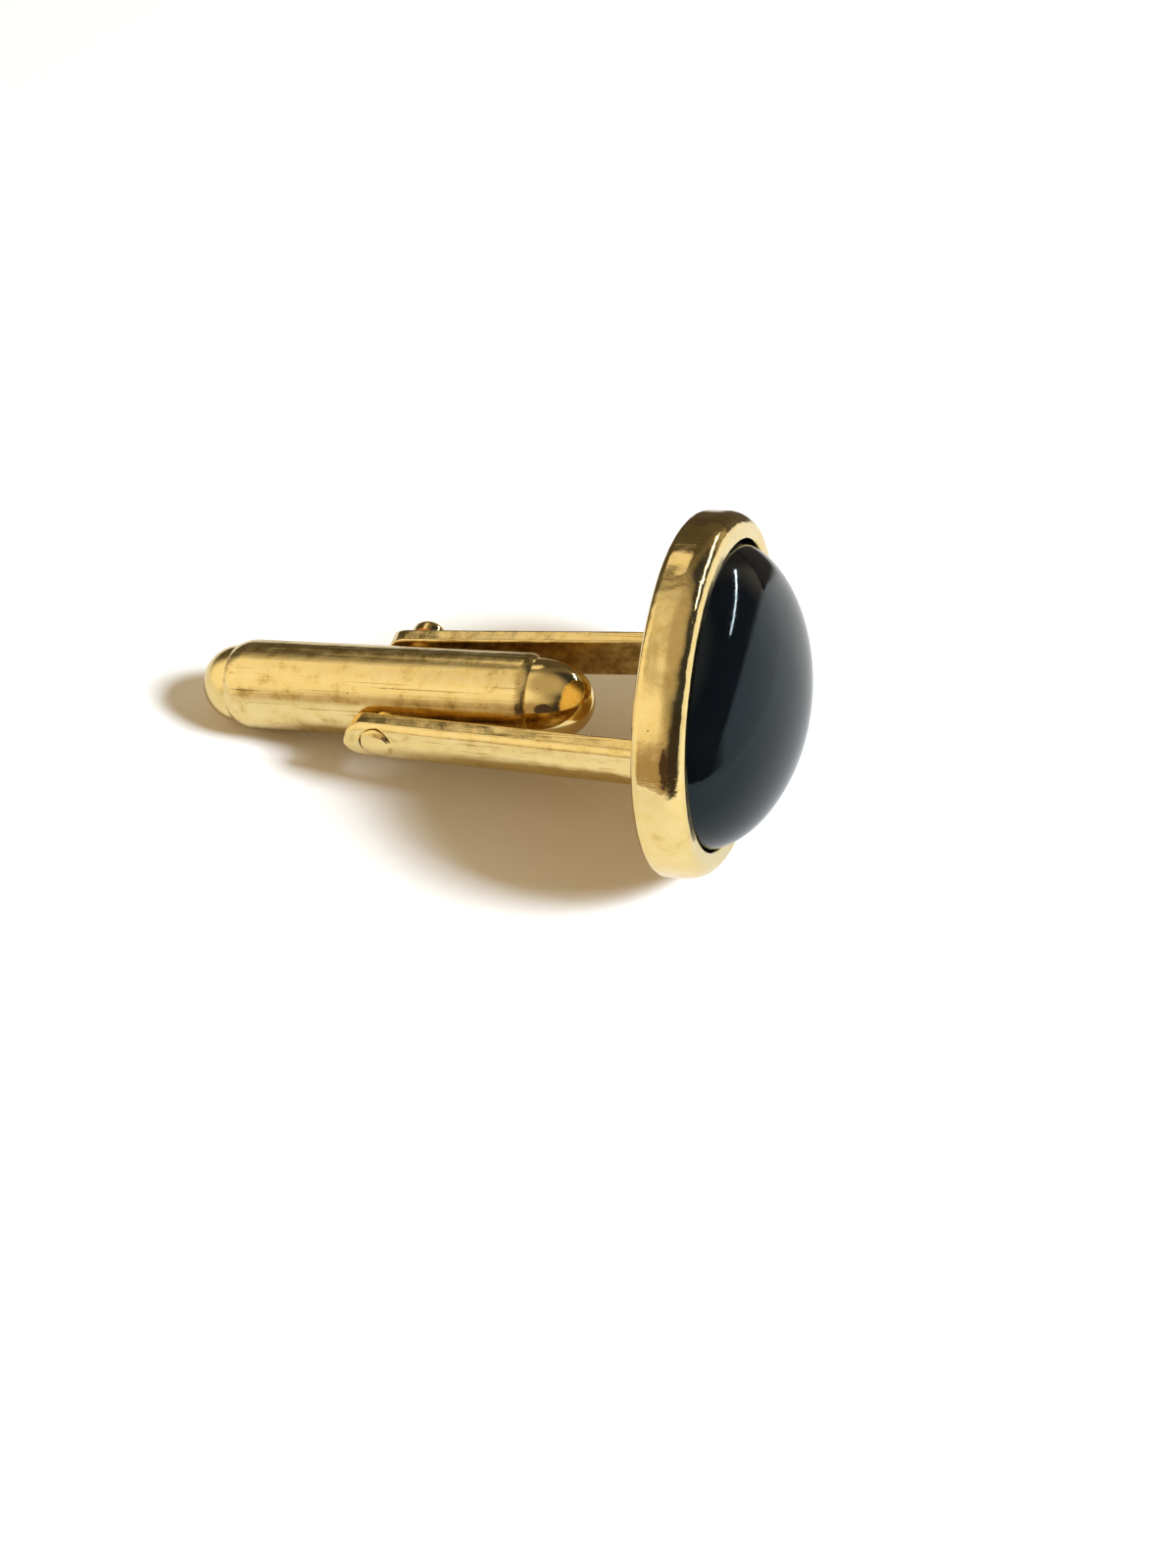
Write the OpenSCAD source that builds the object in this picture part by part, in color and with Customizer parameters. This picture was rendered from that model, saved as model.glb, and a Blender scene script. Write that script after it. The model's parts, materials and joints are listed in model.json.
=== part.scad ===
// Bullet-back cufflink: an oval cabochon in a deep bezel, two arms, and a bullet that swivels
// between them to lock behind the cuff. It lies on a table, on its bullet nose and its back rim.
// Millimetres, +Z up. The origin is on the table, under the middle of the part's box.
// Link frame of the modules below: the pivot is the origin, +X runs along the post to the head.

/* [Head] */
// Width of the oval head across the post
head_w = 20; // [18:0.5:23]
// Height of the oval head
head_h = 16.4; // [15.2:0.2:18]
// How far the head's middle stands above the post's axis
head_rise = 1.2; // [0.6:0.1:1.4]
// Depth of the bezel from its back edge to its front rim
bezel_depth = 2.4; // [2.3:0.1:3.2]
// Width of the rim round the stone
rim_w = 1.4; // [1.2:0.05:1.8]
// Rounding of the bezel's back edge
back_round = 0.4; // [0.2:0.05:0.5]
// Rounding of the bezel's front edge
front_round = 0.8; // [0.5:0.05:0.9]
// Rounding of the rim's inner edge beside the stone
rim_round = 0.15; // [0.1:0.05:0.25]
// Width of the flat back rim that bears on the cuff
back_rim_w = 0.8; // [0.6:0.05:1]
// Thickness of the back plate
plate_t = 0.7; // [0.5:0.05:0.9]
// How far the back plate sits inside the back rim
plate_recess = 0.1; // [0:0.05:0.2]
// Thickness of the cement bed under the stone
cement_t = 0.4; // [0.2:0.05:0.5]

/* [Stone] */
// Height of the stone's dome above its girdle
dome_h = 4.4; // [2.6:0.1:5.4]
// How far the dome's top sits below the head's middle
dome_drop = 0.6; // [0:0.1:1.2]
// Height of the stone's straight girdle
girdle_h = 0.4; // [0.3:0.05:0.6]
// Bevel round the stone's flat base
base_bevel = 0.15; // [0.1:0.05:0.25]
// Gap between the stone's girdle and the rim
stone_gap = 0.05; // [0.03:0.01:0.1]

/* [Post] */
// Distance from the pivot to the bezel's back edge
post_len = 15.5; // [14:0.5:19]
// Gap between the two arms at the pivot
arm_gap = 5.6; // [5.4:0.1:6.2]
// Angle that each arm leans outward, in degrees
arm_splay = 3; // [1:0.5:4]
// Height of an arm
arm_h = 2.3; // [2.2:0.1:2.8]
// Thickness of an arm at its crown
arm_t = 1.25; // [1.15:0.05:1.4]
// Thickness of an arm along its top and bottom edges
arm_edge_t = 0.95; // [0.8:0.05:1]
// How far an arm reaches past the pivot
arm_reach = 1.8; // [1.6:0.1:2]
// Bevel along the arm's inner edges
arm_bevel = 0.12; // [0.08:0.02:0.16]
// Height of the tenon that fixes an arm in the back plate
tenon_h = 1.5; // [1.2:0.1:1.8]
// Thickness of the tenon
tenon_t = 0.5; // [0.4:0.05:0.6]

/* [Pivot] */
// Diameter of the pivot pin's shaft
pin_d = 1.5; // [1.3:0.05:1.6]
// Diameter of the pin's domed head
rivet_d = 2; // [1.9:0.05:2.1]
// Height that the domed head stands above the far arm
rivet_h = 1; // [0.7:0.05:1.1]
// Height of the domed head's straight edge
rivet_edge = 0.4; // [0.2:0.05:0.5]
// Diameter of the pin's peened end
peen_d = 1.8; // [1.7:0.05:1.9]
// Height that the peened end stands above the near arm
peen_h = 0.14; // [0.1:0.02:0.2]
// Depth of the countersink that seats each of them
sink_depth = 0.12; // [0.1:0.02:0.2]
// Gap round each of them in its countersink
sink_gap = 0.08; // [0.06:0.02:0.12]
// Distance across the pin's opposite flats
flats_w = 1.2; // [1.1:0.02:1.24]
// Running clearance between the pin and the barrel, on the radius
pin_clear = 0.03; // [0.02:0.01:0.06]

/* [Bullet] */
// Outer diameter of the barrel
barrel_d = 4.8; // [4.6:0.05:5]
// Wall thickness of the barrel
barrel_wall = 0.4; // [0.3:0.05:0.45]
// Distance from the pivot to the seam of the nose cap
nose_seam = 9.4; // [8.6:0.2:10.4]
// Distance from the pivot to the seam of the tail cap
tail_seam = 7.6; // [6.8:0.2:8.4]
// Length of the rolled shoulder at the nose
nose_roll = 1; // [0.8:0.1:1.3]
// Length of the rolled shoulder at the tail
tail_roll = 0.6; // [0.4:0.1:0.8]
// Height of the roll at the nose, on the radius
nose_drop = 0.28; // [0.2:0.02:0.3]
// Height of the roll at the tail, on the radius
tail_drop = 0.2; // [0.14:0.02:0.26]
// Height of the fine step from the rolled edge to a cap
cap_step = 0.05; // [0.02:0.01:0.06]
// Length of the rounded tail cap
tail_len = 2.9; // [2.4:0.1:3.2]
// Length of the caps' spigots inside the barrel
spigot_len = 1.3; // [1:0.1:1.6]
// Diameter of the plunger's tip, which rests on the pin's flats
tip_d = 2.4; // [2:0.1:2.6]
// Length of the plunger's tip
tip_len = 0.5; // [0.4:0.05:0.7]
// Length of the plunger's body
plunger_len = 1.3; // [1:0.1:1.8]
// Diameter of the spring's wire
wire_d = 0.3; // [0.24:0.02:0.36]
// Turns of the spring
spring_turns = 5.5; // [4.5:0.5:6.5]

/* [Clearances] */
// Seam left by solder or a press seat between fixed pieces
seam = 0.02; // [0.01:0.01:0.04]
// Running clearance between the plunger and the bore, on the radius
slide_clear = 0.04; // [0.03:0.01:0.08]
// Clearance between the plunger's tip and the pin's corners
lift_clear = 0.01; // [0.01:0.01:0.03]

/* [Hidden] */

// Facets
oval_sides = 50;
stone_sides = 84;
round_sides = 60;
pin_sides = 48;
wire_sides = 6;
wire_steps = 20;
edge_steps = 4;
roll_steps = 5;
dome_steps = 12;
cap_steps = 12;
crown_steps = 5;
head_steps = 8;
end_steps = 24;

// Oval outline, measured from the head's middle: a mean radius and two small waves
quad_share = 0.014;
mean_r = (head_w + head_h) / (4 * (1 + quad_share));
oval_share = (head_w - head_h) / (4 * mean_r);
dome_power = 1.9;

// Stations along the post
front_x = post_len + bezel_depth;
plate_x = post_len + plate_recess;
ledge_x = plate_x + plate_t;
bed_x = ledge_x + cement_t;
girdle_x = bed_x + girdle_h;

// Bullet
barrel_r = barrel_d / 2;
bore_r = barrel_r - barrel_wall;
spigot_r = bore_r - seam;
pin_r = pin_d / 2;
hole_r = pin_r + pin_clear;
rivet_r = rivet_d / 2;
peen_r = peen_d / 2;
nose_r = barrel_r - nose_drop - cap_step;
tail_r = barrel_r - tail_drop - cap_step;
nose_roll_r = (nose_roll * nose_roll + nose_drop * nose_drop) / (2 * nose_drop);
tail_roll_r = (tail_roll * tail_roll + tail_drop * tail_drop) / (2 * tail_drop);
shoulder_x = nose_roll - nose_seam;
cam_half = tip_d / 2 + spigot_r / 10;
tip_x = -pin_r - lift_clear;
plunger_r = bore_r - slide_clear;
plunger_back = tip_x - tip_len - plunger_len;
pocket_r = spigot_r - barrel_wall / 2;
pocket_depth = spigot_len / 4;
pocket_floor = spigot_len - nose_seam - pocket_depth;
coil_r = pocket_r - wire_d;
coil_start = pocket_floor + wire_d / 2 + seam;
coil_end = plunger_back - wire_d / 2 - seam;

// Arms and the ends of the pin
crown = arm_t - arm_edge_t;
crown_r = (arm_h * arm_h / 4 + crown * crown) / (2 * crown);
crown_half = asin(arm_h / 2 / crown_r);
seat_y = arm_gap / 2 + arm_t * cos(arm_splay) - sink_depth;
tenon_y = arm_gap / 2 + plate_x * tan(arm_splay) + arm_t / 2;

// Lie of the part: the barrel's shoulder and the bezel's rounded back edge both touch the table,
// each with the middle of a facet
low_edge = edge_at(90 - 180 / oval_sides) * cos(180 / oval_sides) - head_rise;
rest_a = post_len + back_round - shoulder_x;
rest_b = low_edge - back_round - barrel_r + nose_roll_r;
rest_c = back_round - nose_roll_r;
tilt = atan2(rest_b, rest_a) + asin(rest_c / sqrt(rest_a * rest_a + rest_b * rest_b));
pivot_z = nose_roll_r + (barrel_r - nose_roll_r) * cos(tilt) - shoulder_x * sin(tilt);

// Middle of the part's box along the table
dome_far = max([for (j = [0:dome_steps]) for (s = [-1, 1])
    (girdle_x + dome_h * dome_lift(j)) * cos(tilt)
    - (dome_mid(j) + s * (edge_at(90) - rim_w - stone_gap) * dome_size(j)) * sin(tilt)]);
nose_far = -nose_seam * cos(tilt) - nose_r;
middle_x = (dome_far + nose_far) / 2;

// Radius of the head's outline at an angle from its width
function edge_at(a) = mean_r * (1 + oval_share * cos(2 * a) + quad_share * cos(4 * a));

// Points of the outline drawn in by an inset
function oval(inset, sides) = [for (i = [0:sides - 1])
    let(a = 360 * i / sides, r = edge_at(a) - inset) [r * cos(a), r * sin(a)]];

// One ring of the outline at a station, scaled about a middle height
function ring(x, inset, mid, size, sides) = [for (p = oval(inset, sides))
    [x, p[0] * size, mid + p[1] * size]];

function dome_size(j) = pow(cos(90 * j / dome_steps), 2 / dome_power);
function dome_lift(j) = pow(sin(90 * j / dome_steps), 2 / dome_power);
function dome_mid(j) = head_rise - dome_drop * dome_lift(j);

// Triangles between rings of n points, from ring k to the next one
function band(n, k, next) = [for (i = [0:n - 1]) let(i2 = (i + 1) % n)
    each [[k * n + i, next * n + i, next * n + i2], [k * n + i, next * n + i2, k * n + i2]]];

// Turns a profile of radius and station about the bullet's axis, with a facet's middle lowest
module turned(profile, sides) {
    rotate([0, 90, 0])
        rotate([0, 0, 180 / sides])
            rotate_extrude($fn = sides)
                polygon(profile);
}

// A rod along the bullet's axis, from one station to another
module rod(r, x0, x1, sides) {
    translate([x0, 0, 0])
        rotate([0, 90, 0])
            cylinder(r = r, h = x1 - x0, $fn = sides);
}

// A rod along the pivot's axis, centred on the post
module cross_rod(r, half) {
    rotate([90, 0, 0])
        cylinder(r = r, h = 2 * half, center = true, $fn = pin_sides);
}

// A flat sheet with the head's outline
module oval_sheet(inset, x0, x1) {
    translate([x0, 0, head_rise])
        rotate([90, 0, 90])
            linear_extrude(height = x1 - x0)
                polygon(oval(inset, oval_sides));
}

// A solid through rings of the outline, closed by flat ends or by a tip at its far end
module loft(rings, tip = []) {
    n = len(rings[0]);
    last = (len(rings) - 1) * n;
    points = concat([for (r = rings) each r], tip);
    far_end = len(tip) == 0 ? [[for (i = [0:n - 1]) last + n - 1 - i]]
        : [for (i = [0:n - 1]) [last + i, len(points) - 1, last + (i + 1) % n]];
    polyhedron(
        points = points,
        faces = concat([[for (i = [0:n - 1]) i]],
            [for (k = [0:len(rings) - 2]) each band(n, k, k + 1)], far_end),
        convexity = 4);
}

// Outside of the bezel as station and inset, from its back edge to its front rim
back_corner = [for (i = [0:edge_steps]) let(a = 90 - 90 * i / edge_steps)
    [post_len + back_round * (1 - sin(a)), back_round * (1 - cos(a))]];
front_corner = [for (i = [0:edge_steps]) let(a = 90 * i / edge_steps)
    [front_x - front_round * (1 - sin(a)), front_round * (1 - cos(a))]];

// Pocket for the stone, which opens out round the rim's inner edge
rim_corner = [for (i = [0:edge_steps]) let(a = 90 * i / edge_steps)
    [front_x - rim_round * (1 - sin(a)), rim_w - rim_round * (1 - cos(a))]];
pocket = concat([[post_len - bezel_depth, rim_w]], rim_corner,
    [[front_x + rim_round, rim_w - rim_round]]);

module bezel() {
    color("gold")
        difference() {
            loft([for (p = concat(back_corner, front_corner)) ring(p[0], p[1], head_rise, 1, oval_sides)]);
            loft([for (p = pocket) ring(p[0], p[1], head_rise, 1, oval_sides)]);
            oval_sheet(back_rim_w, post_len - bezel_depth, ledge_x);
        }
}

module back_plate() {
    color("goldenrod")
        difference() {
            oval_sheet(back_rim_w + seam, plate_x, ledge_x);
            for (side = [-1, 1])
                translate([plate_x - seam, side * tenon_y - tenon_t / 2 - seam, -tenon_h / 2 - seam])
                    cube([plate_t + 2 * seam, tenon_t + 2 * seam, tenon_h + 2 * seam]);
        }
}

module stone() {
    inset = rim_w + stone_gap;
    color("black")
        loft(concat(
            [ring(bed_x, inset + base_bevel, head_rise, 1, stone_sides)],
            [ring(bed_x + base_bevel, inset, head_rise, 1, stone_sides)],
            [for (j = [0:dome_steps - 1])
                ring(girdle_x + dome_h * dome_lift(j), inset, dome_mid(j), dome_size(j), stone_sides)]),
            [[girdle_x + dome_h, 0, dome_mid(dome_steps)]]);
}

module stone_cement() {
    color("dimgray")
        oval_sheet(rim_w + seam, ledge_x, bed_x);
}

// Cross-section of an arm: flat inside, crowned outside, from the inner face outward
arm_section = concat(
    [[0, arm_bevel - arm_h / 2], [arm_bevel, -arm_h / 2]],
    [for (i = [-crown_steps:crown_steps]) let(a = crown_half * i / crown_steps)
        [arm_t - crown_r * (1 - cos(a)), crown_r * sin(a)]],
    [[arm_bevel, arm_h / 2], [0, arm_h / 2 - arm_bevel]]);

// Side view of an arm: a half-round end past the pivot
arm_side = concat(
    [for (i = [0:end_steps]) let(a = 90 + 180 * i / end_steps)
        [arm_h / 2 - arm_reach + arm_h / 2 * cos(a), arm_h / 2 * sin(a)]],
    [[post_len + arm_h, -arm_h / 2], [post_len + arm_h, arm_h / 2]]);

module straight_arm() {
    intersection() {
        translate([-arm_reach, 0, 0])
            rotate([90, 0, 90])
                linear_extrude(height = post_len + arm_reach + arm_h)
                    polygon(arm_section);
        translate([0, 2 * arm_t, 0])
            rotate([90, 0, 0])
                linear_extrude(height = 3 * arm_t)
                    polygon(arm_side);
    }
}

module arm(head_r) {
    difference() {
        union() {
            intersection() {
                translate([0, arm_gap / 2, 0])
                    rotate([0, 0, arm_splay])
                        straight_arm();
                translate([-post_len, 0, -arm_h])
                    cube([post_len + plate_x, head_w, 2 * arm_h]);
            }
            translate([plate_x - plate_t / 2, tenon_y - tenon_t / 2, -tenon_h / 2])
                cube([plate_t * 3 / 2 - seam, tenon_t, tenon_h]);
        }
        cross_rod(pin_r + seam, arm_gap);
        translate([0, seat_y, 0])
            rotate([-90, 0, 0])
                cylinder(r = head_r + sink_gap, h = arm_t, $fn = pin_sides);
    }
}

module near_arm() {
    color("gold")
        mirror([0, 1, 0])
            arm(peen_r);
}

module far_arm() {
    color("gold")
        arm(rivet_r);
}

// One end of the pin on the floor of its countersink: a straight edge and a dome above it
module pin_end(r, edge, rise) {
    dome = [for (i = [0:head_steps]) let(a = 90 * i / head_steps)
        [r * cos(a), edge + (sink_depth + rise - edge) * sin(a)]];
    translate([0, seat_y, 0])
        rotate([-90, 0, 0])
            rotate_extrude($fn = pin_sides)
                polygon(concat([[0, 0], [r, 0]], dome));
}

module pivot_pin() {
    color("khaki")
        union() {
            difference() {
                cross_rod(pin_r, seat_y + sink_depth / 2);
                for (quarter = [0:3])
                    rotate([0, 90 * quarter, 0])
                        translate([flats_w / 2, -cam_half, -pin_d])
                            cube([pin_d, 2 * cam_half, 2 * pin_d]);
            }
            pin_end(rivet_r, rivet_edge, rivet_h);
            mirror([0, 1, 0])
                pin_end(peen_r, sink_depth / 2, peen_h);
        }
}

// Outside of the barrel: rolled in at both ends, from the nose seam to the tail seam
nose_curl = [for (i = [0:roll_steps])
    let(a = asin(nose_roll / nose_roll_r) * (1 - i / roll_steps))
    [barrel_r - nose_roll_r * (1 - cos(a)), shoulder_x - nose_roll_r * sin(a)]];
tail_curl = [for (i = [0:roll_steps])
    let(a = asin(tail_roll / tail_roll_r) * i / roll_steps)
    [barrel_r - tail_roll_r * (1 - cos(a)), tail_seam - tail_roll + tail_roll_r * sin(a)]];

module barrel() {
    color("gold")
        difference() {
            turned(concat([[bore_r, -nose_seam]], nose_curl, tail_curl, [[bore_r, tail_seam]]),
                round_sides);
            cross_rod(hole_r, barrel_d);
        }
}

module nose_cap() {
    dome = [for (i = [0:cap_steps]) let(a = 90 * i / cap_steps)
        [nose_r * sin(a), -nose_seam - nose_r * cos(a)]];
    color("gold")
        turned(concat(dome, [[spigot_r, -nose_seam], [spigot_r, spigot_len - nose_seam],
            [pocket_r, spigot_len - nose_seam], [pocket_r, pocket_floor], [0, pocket_floor]]),
            round_sides);
}

module tail_cap() {
    dome = [for (i = [0:cap_steps]) let(a = 90 * i / cap_steps)
        [tail_r * cos(a), tail_seam + tail_len * sin(a)]];
    color("gold")
        turned(concat([[0, tail_seam - spigot_len], [spigot_r, tail_seam - spigot_len],
            [spigot_r, tail_seam]], dome), round_sides);
}

module detent_plunger() {
    color("silver")
        union() {
            rod(plunger_r, plunger_back, tip_x - tip_len, round_sides);
            rod(tip_d / 2, tip_x - tip_len - plunger_len / 2, tip_x, round_sides);
        }
}

module detent_spring() {
    rings = spring_turns * wire_steps;
    points = [for (k = [0:rings]) let(a = 360 * k / wire_steps)
        for (i = [0:wire_sides - 1]) let(b = 360 * i / wire_sides, r = coil_r + wire_d / 2 * cos(b))
            [coil_start + (coil_end - coil_start) * k / rings + wire_d / 2 * sin(b),
                r * cos(a), r * sin(a)]];
    color("silver")
        polyhedron(
            points = points,
            faces = concat(
                [[for (i = [0:wire_sides - 1]) wire_sides - 1 - i]],
                [for (k = [0:rings - 1]) for (t = band(wire_sides, k, k + 1)) [t[0], t[2], t[1]]],
                [[for (i = [0:wire_sides - 1]) wire_sides * rings + i]]),
            convexity = 8);
}

// Lays a piece of the link frame on the table
module laid() {
    translate([-middle_x, 0, pivot_z])
        rotate([0, -tilt, 0])
            children();
}

laid() bezel();
laid() back_plate();
laid() stone();
laid() stone_cement();
laid() near_arm();
laid() far_arm();
laid() pivot_pin();
laid() barrel();
laid() nose_cap();
laid() tail_cap();
laid() detent_spring();
laid() detent_plunger();
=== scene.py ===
# Bullet-back cufflink: finer metal and stone over the CAD frame, with camera and studio
import bpy
import bmesh
import json
import math
from mathutils import Matrix, Vector


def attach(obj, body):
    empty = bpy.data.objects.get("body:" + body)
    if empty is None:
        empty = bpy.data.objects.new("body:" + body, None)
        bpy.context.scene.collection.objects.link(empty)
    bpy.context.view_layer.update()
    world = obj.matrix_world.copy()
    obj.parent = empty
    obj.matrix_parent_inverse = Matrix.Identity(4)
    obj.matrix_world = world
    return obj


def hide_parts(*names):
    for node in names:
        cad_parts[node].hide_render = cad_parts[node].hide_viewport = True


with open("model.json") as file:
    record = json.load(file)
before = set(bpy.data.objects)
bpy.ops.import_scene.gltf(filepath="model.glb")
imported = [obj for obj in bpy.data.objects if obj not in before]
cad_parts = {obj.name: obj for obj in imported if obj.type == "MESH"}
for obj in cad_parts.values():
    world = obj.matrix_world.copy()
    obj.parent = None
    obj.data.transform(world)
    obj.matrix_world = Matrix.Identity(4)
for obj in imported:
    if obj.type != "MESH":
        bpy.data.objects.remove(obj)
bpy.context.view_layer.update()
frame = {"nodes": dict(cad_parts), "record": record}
joints = {j["name"]: j for j in frame["record"]["behaviour"]["joints"]}
pivot = Vector(joints["bullet_swivel"]["pos_m"])
postAxis = Vector(joints["detent_travel"]["axis"])
tilt = math.atan2(postAxis.z, postAxis.x)
print("frame loaded, post rises", round(math.degrees(tilt), 2), "degrees")


def lay(x, y, z):
    # post frame in millimetres (x along the post, z up) to metres on the table
    c, s = math.cos(tilt), math.sin(tilt)
    return Vector((pivot.x + (x * c - z * s) / 1000, y / 1000, pivot.z + (x * s + z * c) / 1000))


def arc(cx, cy, r, a0, a1, steps):
    # points on an arc, angles in degrees
    angles = [math.radians(a0 + (a1 - a0) * k / steps) for k in range(steps + 1)]
    return [(cx + r * math.cos(a), cy + r * math.sin(a)) for a in angles]


def quarter(steps):
    # (cosine, sine) pairs from 0 to 90 degrees
    angles = [math.pi / 2 * k / steps for k in range(steps + 1)]
    return [(math.cos(a), math.sin(a)) for a in angles]


def anglesRound(sides):
    return [2 * math.pi * k / sides for k in range(sides)]


def ringFaces(rings, n, closed=False):
    # quads between rings of n points that lie one after the other
    faces = []
    for k in range(rings if closed else rings - 1):
        a, b = k * n, ((k + 1) % rings) * n
        faces += [(a + i, b + i, b + (i + 1) % n, a + (i + 1) % n) for i in range(n)]
    return faces


def addObject(name, data):
    item = bpy.data.objects.new(name, data)
    bpy.context.scene.collection.objects.link(item)
    return item


def cleanMesh(mesh, weld=False):
    # joins doubled points if asked, drops empty edges and turns the faces outward
    bm = bmesh.new()
    bm.from_mesh(mesh)
    if weld:
        bmesh.ops.remove_doubles(bm, verts=bm.verts, dist=1e-7)
    bmesh.ops.dissolve_degenerate(bm, edges=bm.edges, dist=1e-8)
    bmesh.ops.recalc_face_normals(bm, faces=bm.faces)
    bm.to_mesh(mesh)
    bm.free()


def shadeMesh(mesh, sharp):
    # smooth, but sharp at edges over the given angle in degrees
    mesh.shade_smooth()
    mesh.set_sharp_from_angle(angle=math.radians(sharp))


def addPiece(name, mesh, body, sharp):
    # a shaded piece on its body
    shadeMesh(mesh, sharp)
    piece = addObject(name, mesh)
    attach(piece, body)
    return piece


def meshPiece(name, points, faces, body, sharp=40):
    mesh = bpy.data.meshes.new(name)
    mesh.from_pydata(points, [], faces)
    cleanMesh(mesh, weld=True)
    return addPiece(name, mesh, body, sharp)


def lathe(name, profile, sides, body, closed=False):
    # turns (station, radius) points about the bullet's axis
    angles = anglesRound(sides)
    points = [lay(station, r * math.cos(a), r * math.sin(a)) for station, r in profile for a in angles]
    return meshPiece(name, points, ringFaces(len(profile), sides, closed), body)


def modifiedMesh(piece):
    # a plain copy of what the piece's modifiers make
    graph = bpy.context.evaluated_depsgraph_get()
    return bpy.data.meshes.new_from_object(piece.evaluated_get(graph))


def rodCutter(radius, y0, y1, at=(0, 0), sides=96):
    # a rod in line with the pivot, to cut with
    angles = anglesRound(sides)
    points = [lay(at[0] + radius * math.cos(a), y, at[1] + radius * math.sin(a))
              for y in (y0, y1) for a in angles]
    faces = ringFaces(2, sides) + [tuple(range(sides)), tuple(range(2 * sides - 1, sides - 1, -1))]
    mesh = bpy.data.meshes.new("cutter")
    mesh.from_pydata(points, [], faces)
    cleanMesh(mesh)
    return addObject("cutter", mesh)


def cutWith(piece, cutter, sharp=40):
    # takes the cutter's shape out of the piece and drops the cutter
    mod = piece.modifiers.new("cut", "BOOLEAN")
    mod.operation, mod.solver, mod.object = "DIFFERENCE", "EXACT", cutter
    mesh = modifiedMesh(piece)
    piece.modifiers.remove(mod)
    whole, piece.data = piece.data, mesh
    mesh.name = piece.name
    cutMesh = cutter.data
    bpy.data.objects.remove(cutter)
    for used in (whole, cutMesh):
        bpy.data.meshes.remove(used)
    shadeMesh(mesh, sharp)


def link(tree, a, b):
    tree.links.new(a, b)


def addNode(tree, kind, at, **values):
    # a node at its place in the editor, with its properties set
    node = tree.nodes.new(kind)
    node.location = at
    for key, value in values.items():
        setattr(node, key, value)
    return node


def setInputs(node, values):
    for key, value in values.items():
        node.inputs[key].default_value = value


def mathNode(tree, how, at, a, b=None, clamp=False):
    # a and b are sockets or numbers
    node = addNode(tree, "ShaderNodeMath", at, operation=how, use_clamp=clamp)
    for socket, value in zip(node.inputs, (a, b)):
        if value is None:
            continue
        if isinstance(value, (int, float)):
            socket.default_value = value
        else:
            link(tree, value, socket)
    return node.outputs[0]


def rampNode(tree, at, source, stops, mode="LINEAR"):
    # stops are (position, colour or grey level)
    node = addNode(tree, "ShaderNodeValToRGB", at)
    ramp = node.color_ramp
    ramp.interpolation = mode
    while len(ramp.elements) < len(stops):
        ramp.elements.new(0.5)
    for element, (pos, colour) in zip(ramp.elements, stops):
        element.position = pos
        element.color = (*colour, 1) if isinstance(colour, tuple) else (colour, colour, colour, 1)
    link(tree, source, node.inputs[0])
    return node.outputs[0]


def rangeNode(tree, at, source, low, high, mode="SMOOTHSTEP"):
    # 0 at low, 1 at high
    node = addNode(tree, "ShaderNodeMapRange", at, interpolation_type=mode)
    setInputs(node, {"From Min": low, "From Max": high})
    link(tree, source, node.inputs["Value"])
    return node.outputs[0]


def mixNode(tree, at, share, first, second):
    # first and second are sockets or colours
    node = addNode(tree, "ShaderNodeMix", at, data_type="RGBA")
    link(tree, share, node.inputs["Factor"])
    for socket, value in ((node.inputs[6], first), (node.inputs[7], second)):
        if isinstance(value, tuple):
            socket.default_value = (*value, 1)
        else:
            link(tree, value, socket)
    return node.outputs[2]


def noiseNode(tree, at, vector, scale, detail=2.0, rough=0.5):
    node = addNode(tree, "ShaderNodeTexNoise", at)
    setInputs(node, {"Scale": scale, "Detail": detail, "Roughness": rough})
    link(tree, vector, node.inputs["Vector"])
    return node.outputs["Fac"]


def bumpShader(tree, source, strength, distance, shader):
    node = addNode(tree, "ShaderNodeBump", (300, -300))
    setInputs(node, {"Strength": strength, "Distance": distance})
    link(tree, source, node.inputs["Height"])
    link(tree, node.outputs[0], shader.inputs["Normal"])


def openMaterial(mat):
    mat.use_nodes = True
    shader = mat.node_tree.nodes["Principled BSDF"]
    shader.location = (600, 0)
    mat.node_tree.nodes["Material Output"].location = (1150, 0)
    return mat.node_tree, shader


# from here to the spring, sizes are in millimetres in line with the post
# the head's outline is the CAD's: an oval that is a little squarer than an ellipse
head = {"width": 20.0, "height": 16.4, "rise": 1.2, "quad": 0.014, "back": 15.5, "front": 17.9,
        "ledge": 16.3, "rim": 1.4, "backRim": 0.8, "backRound": 0.4, "frontRound": 0.8,
        "frontReach": 1.15, "rimRound": 0.15, "ledgeRound": 0.06, "sideFrom": 0.45, "sideTo": 0.1,
        "edgeRun": 0.04, "sides": 320, "steps": {"back": 10, "front": 26, "rim": 7, "ledge": 3}}
meanR = (head["width"] + head["height"]) / (4 * (1 + head["quad"]))
ovalShare = (head["width"] - head["height"]) / (4 * meanR)


def edgeAt(a):
    return meanR * (1 + ovalShare * math.cos(2 * a) + head["quad"] * math.cos(4 * a))


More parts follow.
